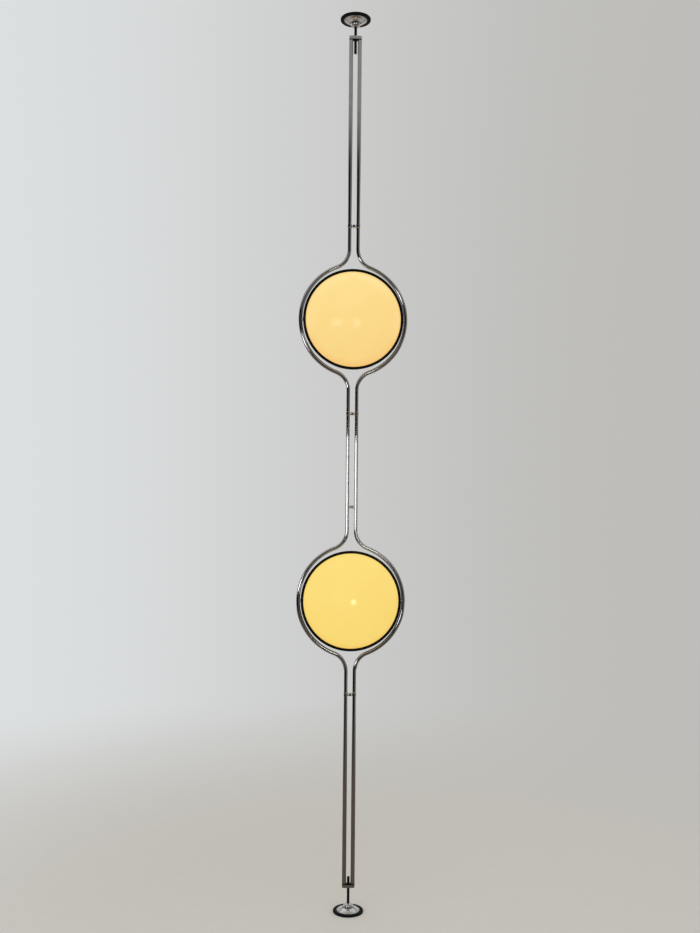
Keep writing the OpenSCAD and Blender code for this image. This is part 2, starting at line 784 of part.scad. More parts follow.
at_height(lower_head_z) head_ring();  // lower_head_ring
at_height(lower_head_z) front_dome();  // lower_head_front_dome
at_height(lower_head_z) mirror([0, 1, 0]) front_dome();  // lower_head_back_dome
at_height(lower_head_z) front_bezel();  // lower_head_front_bezel
at_height(lower_head_z) mirror([0, 1, 0]) front_bezel();  // lower_head_back_bezel
at_height(lower_head_z) holder_bracket();  // lower_head_holder_bracket
at_height(lower_head_z) head_nuts();  // lower_head_nuts
at_height(lower_head_z) lampholder();  // lower_head_lampholder
at_height(lower_head_z) bulb();  // lower_head_bulb
at_height(lower_head_z) head_lead();  // lower_head_lead

at_height(upper_head_z) head_ring();  // upper_head_ring
at_height(upper_head_z) front_dome();  // upper_head_front_dome
at_height(upper_head_z) mirror([0, 1, 0]) front_dome();  // upper_head_back_dome
at_height(upper_head_z) front_bezel();  // upper_head_front_bezel
at_height(upper_head_z) mirror([0, 1, 0]) front_bezel();  // upper_head_back_bezel
at_height(upper_head_z) holder_bracket();  // upper_head_holder_bracket
at_height(upper_head_z) head_nuts();  // upper_head_nuts
at_height(upper_head_z) lampholder();  // upper_head_lampholder
at_height(upper_head_z) bulb();  // upper_head_bulb
at_height(upper_head_z) head_lead();  // upper_head_lead
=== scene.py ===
# %% [markdown]
# # A lamp held between floor and ceiling
#
# Two chromed tubes stand side by side from the floor to the ceiling. Twice on the way up they
# part, run round a flat head with two glowing opal domes, and meet again. Screw jacks at both
# ends press rubber pads against the floor and the ceiling. The shapes that carry the lamp come
# from its construction model, which is loaded first. This lesson gives every piece the surface
# and the fine shape that a camera sees.

# %% Load the construction model
import json
from math import asin, atan2, cos, degrees, hypot, pi, radians, sin, sqrt, tan, tau

import bmesh
import bpy
from mathutils import Matrix, Vector

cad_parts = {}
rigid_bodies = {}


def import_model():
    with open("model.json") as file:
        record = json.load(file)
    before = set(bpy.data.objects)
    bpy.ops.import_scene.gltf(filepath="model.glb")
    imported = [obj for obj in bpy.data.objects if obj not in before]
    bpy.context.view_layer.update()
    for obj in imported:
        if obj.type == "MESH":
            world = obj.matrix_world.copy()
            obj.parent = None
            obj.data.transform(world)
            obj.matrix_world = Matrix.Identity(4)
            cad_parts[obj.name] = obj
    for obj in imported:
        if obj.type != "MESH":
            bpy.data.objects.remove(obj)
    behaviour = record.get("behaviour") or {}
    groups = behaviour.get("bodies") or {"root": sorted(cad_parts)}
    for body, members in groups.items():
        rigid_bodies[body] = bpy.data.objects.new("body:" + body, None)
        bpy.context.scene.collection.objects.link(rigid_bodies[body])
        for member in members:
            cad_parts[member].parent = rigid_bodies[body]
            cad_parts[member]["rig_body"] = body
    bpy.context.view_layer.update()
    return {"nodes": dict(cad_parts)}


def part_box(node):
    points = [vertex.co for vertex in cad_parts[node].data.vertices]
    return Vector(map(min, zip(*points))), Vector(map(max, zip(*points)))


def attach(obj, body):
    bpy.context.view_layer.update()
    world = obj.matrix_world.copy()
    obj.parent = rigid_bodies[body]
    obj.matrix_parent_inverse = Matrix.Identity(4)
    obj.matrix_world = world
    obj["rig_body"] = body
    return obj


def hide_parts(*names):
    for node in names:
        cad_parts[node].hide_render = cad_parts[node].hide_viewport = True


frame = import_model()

nodes = frame["nodes"]
print("nodes:", len(nodes))

# %% [markdown]
# Everything is placed from the construction model, so the sizes are read off its pieces instead
# of being typed again. A straight tube gives the tubes' radius and spacing, and a head's ring
# gives the head's place.

# %% Sizes read off the model
MM = 0.001


def span(node):
    """The middle and the size of a piece of the construction model."""
    low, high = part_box(node)
    return (low + high) / 2, high - low


tube_middle, tube_size = span("bottom_tube_right")
tube_x, tube_r = tube_middle.x, tube_size.x / 2
tube_wall = 1 * MM
lamp_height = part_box("upper_pad")[1].z
head_names = ("lower_head", "upper_head")
head_z = {name: span(name + "_ring")[0].z for name in head_names}
ring_r = span("lower_head_ring")[1].x / 2
face_y = span("lower_head_ring")[1].y / 2
print(f"tubes of {2 * tube_r / MM:.1f} mm, {2 * tube_x / MM:.1f} mm apart")
print(f"the lamp is {lamp_height:.3f} m tall")
print("head centres:", {name: round(z, 4) for name, z in head_z.items()})

# %% [markdown]
# ## Writing materials as sums
#
# A material is a small net of nodes. Wiring it by hand takes a line for each link, so a tiny
# class wraps one output of a node and lets ordinary arithmetic add the Math nodes. A net of nodes
# has one method for every other kind of node. A material is such a net with a shader at its end,
# and so is the world.


# %% A class for shader values
class Value:
    """One output of a node. Arithmetic on it adds Math nodes to the same net."""

    def __init__(self, net, socket):
        self.net = net
        self.socket = socket

    def math(self, operation, *others):
        inputs = dict(enumerate((self, *others)))
        return self.net.node("ShaderNodeMath", {"operation": operation}, inputs)

    def __add__(self, other):
        return self.math("ADD", other)

    def __sub__(self, other):
        return self.math("SUBTRACT", other)

    def __rsub__(self, other):
        return self.net.node("ShaderNodeMath", {"operation": "SUBTRACT"}, {0: other, 1: self})

    def __mul__(self, other):
        return self.math("MULTIPLY", other)

    def __pow__(self, other):
        return self.math("POWER", other)

    __radd__ = __add__
    __rmul__ = __mul__

    def between(self, low, high):
        """0 below low, 1 above high, and a smooth step from one to the other."""
        settings = {"interpolation_type": "SMOOTHSTEP"}
        return self.net.node("ShaderNodeMapRange", settings, {"Value": self, 1: low, 2: high})


methods = ", ".join(name for name in vars(Value) if not name.startswith("_"))
print("beside its operators, a shader value has", methods)


# %% A class for a net of nodes
class Net:
    """The nodes of a material or of the world."""

    def __init__(self, tree):
        self.tree = tree

    def feed(self, socket, value):
        if isinstance(value, Value):
            self.tree.links.new(value.socket, socket)
        else:
            socket.default_value = value

    def node(self, kind, settings=(), inputs=(), output=0):
        """Adds a node: its settings first, then the values or links of its sockets."""
        made = self.tree.nodes.new(kind)
        for name, value in dict(settings).items():
            setattr(made, name, value)
        for name, value in dict(inputs).items():
            self.feed(made.inputs[name], value)
        return None if output is None else Value(self, made.outputs[output])

    def place(self, centre=(0, 0, 0), stretch=(1, 1, 1)):
        """Object coordinates in metres, moved to a piece's centre and stretched."""
        where = self.node("ShaderNodeTexCoord", output=3)
        moved = tuple(-c * s for c, s in zip(centre, stretch))
        inputs = {"Vector": where, "Location": moved, "Scale": stretch}
        return self.node("ShaderNodeMapping", (), inputs)

    def noise(self, where, scale, detail=3.0, roughness=0.55):
        inputs = {"Vector": where, "Scale": scale, "Detail": detail, "Roughness": roughness}
        return self.node("ShaderNodeTexNoise", (), inputs)

    def blend(self, amount, first, second):
        """A colour between two colours."""
        settings = {"data_type": "RGBA"}
        return self.node("ShaderNodeMix", settings, {0: amount, 6: first, 7: second}, output=2)

    def bump(self, height, depth):
        """A bump whose whole height is depth, in metres."""
        return self.node("ShaderNodeBump", (), {"Height": height, "Distance": depth})

    def parts(self, where):
        """The X, Y and Z of a vector."""
        first = self.node("ShaderNodeSeparateXYZ", (), {0: where})
        outputs = first.socket.node.outputs
        return [Value(self, outputs[i]) for i in range(3)]


print("a net makes:", ", ".join(name for name in vars(Net) if not name.startswith("_")))


# %% A class for a material
class Recipe(Net):
    """A material under construction. slot is the finish in the parts list that it stands for."""

    def __init__(self, name, slot):
        self.material = bpy.data.materials.new(name)
        self.material.use_nodes = True
        self.material["slot"] = slot
        super().__init__(self.material.node_tree)
        self.shader = self.tree.nodes["Principled BSDF"]

    def surface(self, **sockets):
        """Sets the shader's sockets, named with an underscore for each space."""
        for name, value in sockets.items():
            self.feed(self.shader.inputs[name.replace("_", " ")], value)
        return self.material


def rgb(red, green, blue):
    """A colour as it looks on a screen, 0 to 255, turned into the light that it stands for."""
    def light(level):
        level /= 255
        return level / 12.92 if level <= 0.04045 else ((level + 0.055) / 1.055) ** 2.4
    return (light(red), light(green), light(blue), 1)


print("a mid grey gives back", round(rgb(128, 128, 128)[0], 3), "of the light")

# %% [markdown]
# ## Chrome
#
# Bright chrome is a mirror with a faint blue-grey tint. What makes it look real is what is wrong
# with it: the tube under the plating was never perfectly straight, so reflections waver, and
# fifty years of hands and dusters leave patches that scatter the light a little. Noise gives the
# patches, and a very shallow bump gives the waver. A noise's scale counts its features in a
# metre: 38 makes patches of an inch, and 900 makes fine wiping marks. Some edges get painted
# shade, a black band: the end caps' next to the tubes, the hubs' feet as a painted contact
# shadow, and the rings' and bezels' front and back edges. That is a band along one axis in the
# same recipe.

# %% The recipe for chrome
CLEAN, WORN = (0.67, 0.67, 0.68, 1), (0.61, 0.61, 0.61, 1)
# Pits are brown; the black is painted shade, for the bands at edges.
PIT_BROWN, SHADE_BLACK = (0.16, 0.13, 0.10, 1), (0.015, 0.014, 0.013, 1)
SHADE_BLUR = 0.1 * MM


def chrome(name, waver, haze, gloss=0.035, shade_bands=()):
    """gloss is the clean metal's roughness. Each band of painted shade is an axis and its two ends.
    """
    mix = Recipe(name, "chrome")
    where = mix.place()
    patches = mix.noise(where, 38, detail=5).between(0.42, 0.72)
    wiped = mix.noise(mix.place(stretch=(1, 1, 0.12)), 900, detail=2)
    specks = mix.node("ShaderNodeTexVoronoi", (), {"Vector": where, "Scale": 210})
    rare = mix.noise(where, 24, detail=1).between(0.56, 0.66)
    pit = (1 - specks.between(0.05, 0.16)) * rare
    colour = mix.blend(pit * 0.5, mix.blend(patches, CLEAN, WORN), PIT_BROWN)
    rough = gloss + patches * haze + wiped * 0.02 + pit * 0.25
    along = mix.parts(where)
    # Each band is painted shade: black and rougher, blurred at its ends.
    for axis, low, high in shade_bands:
        past_low = along[axis].between(low - SHADE_BLUR, low)
        shade_mask = past_low * (1 - along[axis].between(high, high + SHADE_BLUR))
        colour = mix.blend(shade_mask, colour, SHADE_BLACK)
        rough = rough + shade_mask * 0.35
    uneven = mix.noise(mix.place(stretch=(1, 1, 0.35)), 22, detail=1)
    return mix.surface(Base_Color=colour, Metallic=1.0, Roughness=rough,
                       Normal=mix.bump(uneven, waver))


print("clean chrome gives back", CLEAN[0], "of the light and worn chrome", WORN[0])

# %% [markdown]
# The straight tubes waver most. The feet are satin and the rings nearly true. The bands of painted
# shade are placed from the pieces that they lie against.

# %% Six kinds of chrome
Y, Z = 1, 2
# Widths of the painted shade bands: next to the caps, at the hubs' feet as a contact shadow, and on
# the rings' faces.
CAP_SHADE_BAND, HUB_SHADE_BAND, RING_SHADE_BAND = 3 * MM, 1.2 * MM, 0.5 * MM
PAST_THE_EDGE = 1 * MM
cap_low, cap_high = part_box("bottom_tube_right")[0].z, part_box("top_tube_right")[1].z
dish_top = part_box("lower_dish")[1].z
dish_foot = lamp_height - dish_top
tube_chrome = chrome("tube_chrome", waver=0.24 * MM, haze=0.05)
loop_chrome = chrome("loop_chrome", waver=0.10 * MM, haze=0.05, gloss=0.06)
pressed_chrome = chrome("pressed_chrome", waver=0.08 * MM, haze=0.06, gloss=0.06)
cap_chrome = chrome("cap_chrome", waver=0.08 * MM, haze=0.06, shade_bands=[
    (Z, cap_low - CAP_SHADE_BAND, cap_low), (Z, cap_high, cap_high + CAP_SHADE_BAND),
])
foot_chrome = chrome("foot_chrome", waver=0.05 * MM, haze=0.08, gloss=0.22, shade_bands=[
    (Z, dish_top, dish_top + HUB_SHADE_BAND), (Z, dish_foot - HUB_SHADE_BAND, dish_foot),
])
ring_chrome = chrome("ring_chrome", waver=0.03 * MM, haze=0.04, shade_bands=[
    (Y, face_y - RING_SHADE_BAND, face_y + PAST_THE_EDGE),
    (Y, -face_y - PAST_THE_EDGE, -face_y + RING_SHADE_BAND),
])
chromes = (tube_chrome, loop_chrome, pressed_chrome, cap_chrome, foot_chrome, ring_chrome)
print("made", ", ".join(finish.name for finish in chromes))

# %% [markdown]
# ## Opal glass, lit from inside
#
# Opal glass scatters the bulb's light so well that the whole dome glows. It could be made of real
# scattering glass round a real bulb, but that takes a very long render to come out clean. Here
# the surface gives out the light itself. Its colour follows the distance from the bulb: nearly
# white where the bulb sits close behind, yellow over most of the dome, and orange at the rim,
# where the glass is seen at a slant and the light has come through more of it. A slow cloud of
# noise keeps that from looking drawn, and the lower right side is the warmer one. The two heads
# glow a little differently in the photograph, so each has its own colours, its own place for the
# bright spot and its own gloss: the upper one mirrors the windows, and the lower one hardly does.

# %% Opal glass
SPOT_R, SPOT_FADE = 1 * MM, 12 * MM
RIM_IN, RIM_OUT = 112 * MM, 142 * MM


def opal(name, centre_z, body, deep, spot, spot_place, gloss):
    """body is the dome's own glow, deep its orange side, and spot the glow before the bulb."""
    mix = Recipe(name, "opal_glass")
    where = mix.place(centre=(0, 0, centre_z))
    x, y, z = mix.parts(where)
    side, height = spot_place
    from_bulb = ((x - side) * (x - side) + (z - height) * (z - height)) ** 0.5
    cloud = mix.noise(where, 11, detail=3)
    warm = (cloud - 0.5) * 0.7 + 0.3 - z * 2.0 + x * 1.5
    lean = mix.blend(warm.between(0.0, 1.0), body, mix.blend(0.35, body, deep))
    rim = ((x * x + z * z) ** 0.5).between(RIM_IN, RIM_OUT)
    edge = rim * (0.3 - z * 4.0).between(0.0, 1.0)
    glow = mix.blend(from_bulb.between(SPOT_R, SPOT_FADE), spot, mix.blend(edge, lean, deep))
    ripple = mix.noise(where, 26, detail=1)
    return mix.surface(
        Base_Color=mix.blend(cloud, (0.24, 0.20, 0.13, 1), (0.21, 0.17, 0.10, 1)),
        Roughness=gloss, IOR=1.45, Emission_Color=glow, Emission_Strength=1.0,
        Normal=mix.bump(ripple, 0.25 * MM),
    )


opal_glass = {
    "upper_head": opal("upper_opal", head_z["upper_head"], body=rgb(231, 199, 117),
                       deep=rgb(229, 178, 95), spot=rgb(232, 206, 128),
                       spot_place=(9 * MM, -28 * MM), gloss=0.24),
    "lower_head": opal("lower_opal", head_z["lower_head"], body=rgb(231, 201, 92),
                       deep=rgb(229, 188, 78), spot=rgb(250, 243, 158),
                       spot_place=(2 * MM, 6 * MM), gloss=0.45),
}
print("opal glass for", sorted(opal_glass))

# %% [markdown]
# ## Rubber, blackened steel and the hidden metals
#
# The pads are moulded rubber with a fine grain and a bloom of dust. The jack screws are blackened
# steel, worn grey in patches. Each finish is a recipe of its own, because they catch the light in
# quite different ways.


# %% Dark finishes
def rubber():
    mix = Recipe("pad_rubber", "black_rubber")
    where = mix.place()
    grain = mix.noise(where, 1400, detail=2)
    bloom = mix.noise(where, 45, detail=5).between(0.5, 0.8)
    colour = mix.blend(bloom * 0.3, (0.003, 0.003, 0.003, 1), (0.018, 0.017, 0.016, 1))
    rough = 0.62 + bloom * 0.2 + grain * 0.08
    return mix.surface(Base_Color=colour, Roughness=rough, Specular_IOR_Level=0.15,
                       Normal=mix.bump(grain, 0.03 * MM))


def blackened_steel():
    mix = Recipe("blackened_steel", "black_steel")
    where = mix.place()
    worn = mix.noise(where, 260, detail=4).between(0.52, 0.72)
    grain = mix.noise(where, 2200, detail=2)
    colour = mix.blend(worn * 0.5, (0.012, 0.012, 0.013, 1), (0.09, 0.085, 0.08, 1))
    rough = 0.38 + grain * 0.14 - worn * 0.08
    return mix.surface(Base_Color=colour, Metallic=0.7, Roughness=rough,
                       Normal=mix.bump(grain, 0.015 * MM))


def black_moulding():
    mix = Recipe("black_moulding", "black_plastic")
    grain = mix.noise(mix.place(), 1800, detail=2)
    return mix.surface(Base_Color=(0.02, 0.02, 0.021, 1), Roughness=0.42 + grain * 0.15,
                       Normal=mix.bump(grain, 0.02 * MM))


pad_rubber = rubber()
dark_steel = blackened_steel()
bush_plastic = black_moulding()
print("made", pad_rubber.name, dark_steel.name, bush_plastic.name)

# %% [markdown]
# Small fasteners are zinc plated, the pivots' washers are nylon, the leads have a grey sheath and
# the lampholder is glazed porcelain. Pictures of these surfaces could be wrapped round them, but
# noise in object space needs no unwrapping and has no seams. It gives cells for zinc, a grain
# drawn lengthwise for the sheath, and specks under a clear coat for the glaze.


# %% Pale finishes
def zinc():
    mix = Recipe("zinc_plate", "plated_steel")
    where = mix.place()
    inputs = {"Vector": where, "Scale": 420}
    cells = mix.node("ShaderNodeTexVoronoi", {"feature": "SMOOTH_F1"}, inputs)
    stain = mix.noise(where, 70, detail=4).between(0.45, 0.75)
    colour = mix.blend(stain * 0.6, (0.60, 0.61, 0.62, 1), (0.45, 0.44, 0.40, 1))
    rough = 0.26 + cells * 0.12 + stain * 0.12
    return mix.surface(Base_Color=colour, Metallic=1.0, Roughness=rough,
                       Normal=mix.bump(cells, 0.02 * MM))


def nylon():
    mix = Recipe("washer_nylon", "nylon")
    grain = mix.noise(mix.place(), 900, detail=2)
    colour = mix.blend(grain, (0.74, 0.72, 0.64, 1), (0.66, 0.63, 0.54, 1))
    return mix.surface(Base_Color=colour, Roughness=0.45, Subsurface_Weight=0.1,
                       Normal=mix.bump(grain, 0.02 * MM))


def lead_sheath():
    mix = Recipe("lead_sheath", "lead_sheath")
    grain = mix.noise(mix.place(stretch=(1, 1, 0.2)), 1500, detail=2)
    colour = mix.blend(grain, (0.20, 0.20, 0.205, 1), (0.26, 0.26, 0.26, 1))
    return mix.surface(Base_Color=colour, Roughness=0.5 + grain * 0.1,
                       Normal=mix.bump(grain, 0.03 * MM))


def porcelain():
    mix = Recipe("porcelain", "porcelain")
    where = mix.place()
    specks = mix.noise(where, 600, detail=3).between(0.66, 0.74)
    colour = mix.blend(specks, (0.86, 0.84, 0.79, 1), (0.42, 0.36, 0.28, 1))
    uneven = mix.noise(where, 60, detail=2)
    return mix.surface(Base_Color=colour, Roughness=0.22, Coat_Weight=0.6, Coat_Roughness=0.05,
                       Normal=mix.bump(uneven, 0.15 * MM))


def bulb_glass():
    mix = Recipe("bulb_glass", "bulb_glass")
    frost = mix.noise(mix.place(), 500, detail=2)
    colour = mix.blend(frost, (1.0, 0.86, 0.58, 1), (1.0, 0.90, 0.66, 1))
    return mix.surface(Base_Color=(0.9, 0.88, 0.82, 1), Roughness=0.3, Emission_Color=colour,
                       Emission_Strength=1.6, Normal=mix.bump(frost, 0.02 * MM))


zinc_plate = zinc()
washer_nylon = nylon()
sheath = lead_sheath()
white_porcelain = porcelain()
lit_bulb = bulb_glass()
print("made", zinc_plate.name, washer_nylon.name, sheath.name, white_porcelain.name, lit_bulb.name)

# %% [markdown]
# ## Turning a mesh into a piece
#
# Each shape is built in a bmesh. This helper welds its doubles, marks the edges that are sharp in
# the metal, gives it its material, and hands it to the body that it moves with. nodes names the
# pieces of the construction model that it stands for, which are then hidden.

# %% Finishing a piece
SHARP = radians(32)
WELD = 0.001 * MM
pieces = []


def finish_piece(mesh, name, body, material, nodes=(), outward=True):
    """outward is off for a shell with an inner wall, whose faces already point the right way."""
    bmesh.ops.remove_doubles(mesh, verts=mesh.verts, dist=WELD)
    if outward:
        bmesh.ops.recalc_face_normals(mesh, faces=mesh.faces)
    for edge in mesh.edges:
        edge.smooth = edge.calc_face_angle(0) < SHARP
    for face in mesh.faces:
        face.smooth = True
    data = bpy.data.meshes.new(name)
    mesh.to_mesh(data)
    mesh.free()
    data.materials.append(material)
    piece = bpy.data.objects.new(name, data)
    bpy.context.scene.collection.objects.link(piece)
    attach(piece, body)
    if nodes:
        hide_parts(*nodes)
    pieces.append(piece)


print(f"edges of more than {degrees(SHARP):.0f} degrees stay sharp")

# %% [markdown]
# ## Tubes
#
# A tube is one ring of points, carried along. Pushed straight it leaves a straight wall behind
# it, and swung about a centre it leaves a bend, so the loop is a chain of those two moves. A
# curve with a bevel would draw the same pipe, but it has no inside. Here solidify gives the wall
# its thickness at the end. The bends meet where their centres and the meeting point are in one
# line, which is what makes the pipe flow without a kink.

# %% Moves for a ring of points
TUBE_SIDES = 64
MM_PER_BEND_STEP = 3.5


def only(kind, geometry):
    return [item for item in geometry if isinstance(item, kind)]


def start_ring(mesh, radius, x, z, sides=TUBE_SIDES):
    """A level ring of points, ready to be carried upwards."""
    place = Matrix.Translation((x, 0, z))
    made = bmesh.ops.create_circle(mesh, segments=sides, radius=radius, matrix=place)
    return list({edge for vert in made["verts"] for edge in vert.link_edges})


def push(mesh, ring, rise):
    made = bmesh.ops.extrude_edge_only(mesh, edges=ring)["geom"]
    bmesh.ops.translate(mesh, verts=only(bmesh.types.BMVert, made), vec=(0, 0, rise))
    return only(bmesh.types.BMEdge, made)


def swing(mesh, ring, centre, angle, radius):
    """Carries the ring about an axis along Y. A positive angle turns +Z towards +X."""
    steps = max(4, round(abs(angle) * radius / (MM_PER_BEND_STEP * MM)))
    verts = list({vert for edge in ring for vert in edge.verts})
    made = bmesh.ops.spin(mesh, geom=verts + ring, cent=centre, axis=(0, 1, 0), angle=angle,
                          steps=steps, use_merge=False)["geom_last"]
    return only(bmesh.types.BMEdge, made)


def wall(mesh, thickness):
    """Faces outwards first, so that the wall grows inwards."""
    bmesh.ops.recalc_face_normals(mesh, faces=mesh.faces)
    bmesh.ops.solidify(mesh, geom=mesh.faces, thickness=thickness)


print(f"a tube has {TUBE_SIDES} sides and a new ring every {MM_PER_BEND_STEP} mm of a bend")

# %% [markdown]
# A straight tube is cut square at both ends, and meets the next one behind a clamp. It is a ring
# of points at its lower end, pushed up by its length in the construction model.

# %% Straight tubes
for level in ("bottom", "middle", "top"):
    for side in ("left", "right"):
        name = f"{level}_tube_{side}"
        middle, size = span(name)
        mesh = bmesh.new()
        ring = start_ring(mesh, tube_r, middle.x, middle.z - size.z / 2)
        push(mesh, ring, size.z)
        wall(mesh, tube_wall)
        finish_piece(mesh, name + "_chromed", "frame", tube_chrome, [name], outward=False)
print("straight tubes:", len(pieces))

# %% [markdown]
# The loop's two kinds of bend come from three sizes: how far out the tube runs beside the head,
# how far its bend's centre lies past the lamp's middle, and the radius of the bend at the neck.

# %% Loop tubes
LOOP_OFFSET = 10 * MM
NECK_R = 55 * MM

loop_size = span("lower_loop_tube_right")[1]
loop_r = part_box("lower_loop_tube_right")[1].x - tube_r + LOOP_OFFSET
neck_x = tube_x + NECK_R
neck_z = sqrt((loop_r + NECK_R) ** 2 - (neck_x + LOOP_OFFSET) ** 2)
neck_angle = atan2(neck_z, neck_x + LOOP_OFFSET)


def loop_tube(level):
    """A right-hand loop tube, from its lower end up to its upper one."""
    z = head_z[level]
    mesh = bmesh.new()
    ring = start_ring(mesh, tube_r, tube_x, z - loop_size.z / 2)
    ring = push(mesh, ring, loop_size.z / 2 - neck_z)
    ring = swing(mesh, ring, (neck_x, 0, z - neck_z), neck_angle, NECK_R)
    ring = swing(mesh, ring, (-LOOP_OFFSET, 0, z), -2 * neck_angle, loop_r)
    ring = swing(mesh, ring, (neck_x, 0, z + neck_z), neck_angle, NECK_R)
    push(mesh, ring, loop_size.z / 2 - neck_z)
    wall(mesh, tube_wall)
    return mesh


def mirrored(mesh):
    """The left-hand copy of a right-hand shape, with its faces turned outwards again."""
    bmesh.ops.scale(mesh, verts=mesh.verts, vec=(-1, 1, 1))
    bmesh.ops.reverse_faces(mesh, faces=mesh.faces)
    return mesh


for head in head_names:
    level = head.split("_")[0]
    right = f"{level}_loop_tube_right"
    left = f"{level}_loop_tube_left"
    for name, mesh in ((right, loop_tube(head)), (left, mirrored(loop_tube(head)))):
        finish_piece(mesh, name + "_chromed", "frame", loop_chrome, [name], outward=False)
print(f"loop bend {loop_r / MM:.1f} mm, neck bend {NECK_R / MM:.0f} mm")
print(f"each neck turns {degrees(neck_angle):.1f} degrees")

# %% [markdown]
# ## Turned pieces
#
# Pads, dishes, hubs, rings and domes are all round, so each is an outline spun about an axis.
# Real pressings and castings have no knife edges: an outline is given as corners, each with its
# own small radius, and the corners are rounded before the spin. That thin highlight along an edge
# is what tells the eye that the thing is made of metal.


# %% Rounded outlines
def rounded(corners, steps=5):
    """Points along a closed outline. A corner is (radius from the axis, height, rounding)."""
    points = []
    for i, (a, b, fillet) in enumerate(corners):
        here = Vector((a, b))
        before = Vector(corners[i - 1][:2]) - here
        after = Vector(corners[(i + 1) % len(corners)][:2]) - here
        if fillet <= 0:
            points.append(here)
            continue
        half = before.angle(after) / 2
        reach = min(fillet / tan(half), 0.49 * before.length, 0.49 * after.length)
        radius = reach * tan(half)
        inward = (before.normalized() + after.normalized()).normalized()
        middle = here + inward * (radius / sin(half))
        first = here + before.normalized() * reach - middle
        sweep = first.angle_signed(here + after.normalized() * reach - middle)
        for step in range(steps + 1):
            turn = -sweep * step / steps
            points.append(middle + Matrix.Rotation(turn, 2) @ first)
    return points


def arc(centre, radius, start, end, steps):
    """Points on an arc, from one angle to another."""
    angles = [start + (end - start) * i / steps for i in range(steps + 1)]
    return [Vector((centre[0] + radius * cos(a), centre[1] + radius * sin(a))) for a in angles]


square = [(1, 0, 0.1), (2, 0, 0.1), (2, 1, 0.1), (1, 1, 0.1)]
print("a square with rounded corners has", len(rounded(square)), "points")

# %% [markdown]
# bmesh's spin carries the outline once round the axis. A Screw modifier would do the same, but a
# bmesh can be welded on the axis at once. The lamp's upper end is its lower end turned over, so
# one function makes each piece twice.


# %% The lathe
def lathe(outline, centre, axis=(0, 0, 1), steps=96, closed=True):
    """Spins an outline of (radius, height) points. An open outline starts and ends on the axis."""
    mesh = bmesh.new()
    axis, centre = Vector(axis), Vector(centre)
    across = Vector((1, 0, 0)) if abs(axis.x) < 0.5 else Vector((0, 0, 1))
    verts = [mesh.verts.new(centre + across * p[0] + axis * p[1]) for p in outline]
    pairs = list(zip(verts, verts[1:]))
    if closed:
        pairs.append((verts[-1], verts[0]))
    line = [mesh.edges.new(pair) for pair in pairs]
    bmesh.ops.spin(mesh, geom=verts + line, cent=centre, axis=axis, angle=tau, steps=steps,
                   use_merge=True)
    bmesh.ops.remove_doubles(mesh, verts=mesh.verts, dist=WELD)
    return mesh


def to_ceiling(mesh):
    """Turns a shape from the lower end over, about X, to the upper end."""
    bmesh.ops.rotate(mesh, verts=mesh.verts, cent=(0, 0, 0), matrix=Matrix.Rotation(pi, 3, "X"))
    bmesh.ops.translate(mesh, verts=mesh.verts, vec=(0, 0, lamp_height))
    return mesh


def both_ends(shape, part, body, material):
    """Makes a piece at the floor and its twin at the ceiling."""
    for level, mesh in (("lower", shape()), ("upper", to_ceiling(shape()))):
        node = f"{level}_{part}"
        finish_piece(mesh, node + "_finished", f"{level}_{body}", material, [node])


turned_square = lathe(rounded(square), (0, 0, 0))
print("turned on the lathe it has", len(turned_square.faces), "faces")
turned_square.free()

# %% [markdown]
# The rubber pad is a shallow cup. Its underside has two round grooves for grip, as furniture feet
# have, and the dish sits in its rim.

# %% Rubber pads
pad_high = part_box("lower_pad")[1]
pad_r, pad_h = pad_high.x, pad_high.z
dish_r = span("lower_dish")[1].x / 2
dish_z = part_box("lower_dish")[0].z
PAD_WEB = 2.5 * MM
DISH_RIM = 3.5 * MM
DISH_ROOM = 0.4 * MM
RIM_CUT = 3 * MM
GROOVES = (24 * MM, 36 * MM)
GROOVE = 1.2 * MM


def pad_shape():
    under = [(0.0, 0.0)]
    for r in GROOVES:
        under += [(r, 0.0), (r, GROOVE), (r + 2 * GROOVE, GROOVE), (r + 2 * GROOVE, 0.0)]
    seat_r, seat_in = dish_r + DISH_ROOM, dish_r - DISH_RIM
    rim = rounded([
        (pad_r - RIM_CUT, 0, 0), (pad_r, 0, 0.8 * MM), (pad_r, pad_h, 2 * MM),
        (seat_r, pad_h, 0.7 * MM), (seat_r, dish_z, 0.3 * MM), (seat_in, dish_z, 0.3 * MM),
        (seat_in, PAD_WEB, 0.5 * MM), (seat_in - RIM_CUT, PAD_WEB, 0),
    ])
    return lathe(under + rim + [(0.0, PAD_WEB)], (0, 0, 0), steps=128, closed=False)


both_ends(pad_shape, "pad", "foot", pad_rubber)
print(f"pads {2 * pad_r / MM:.0f} mm across and {pad_h / MM:.1f} mm thick")

# %% [markdown]
# The dish is pressed from sheet: a flat rim in the rubber, a slope that is part of a sphere, and
# a flat top under the hub. Its outline follows the outside of the sheet out and the inside back.

# %% Dishes
DISH_T = 1.2 * MM
HUB_MARGIN = 0.6 * MM
hub_r = span("lower_hub")[1].x / 2
hub_low, hub_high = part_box("lower_hub")
COLLAR_R = 7.5 * MM


def slope(radius_out, radius_in, z_out, z_in, inset):
    """The dish's spherical slope between its rim and its flat top, or that slope's underside."""
    centre = (radius_out**2 - radius_in**2 + z_out**2 - z_in**2) / (2 * (z_out - z_in))
    r = hypot(radius_out, z_out - centre)
    a, b = atan2(z_out - centre, radius_out), atan2(z_in - centre, radius_in)
    return arc((0, centre), r - inset, a, b, 20)


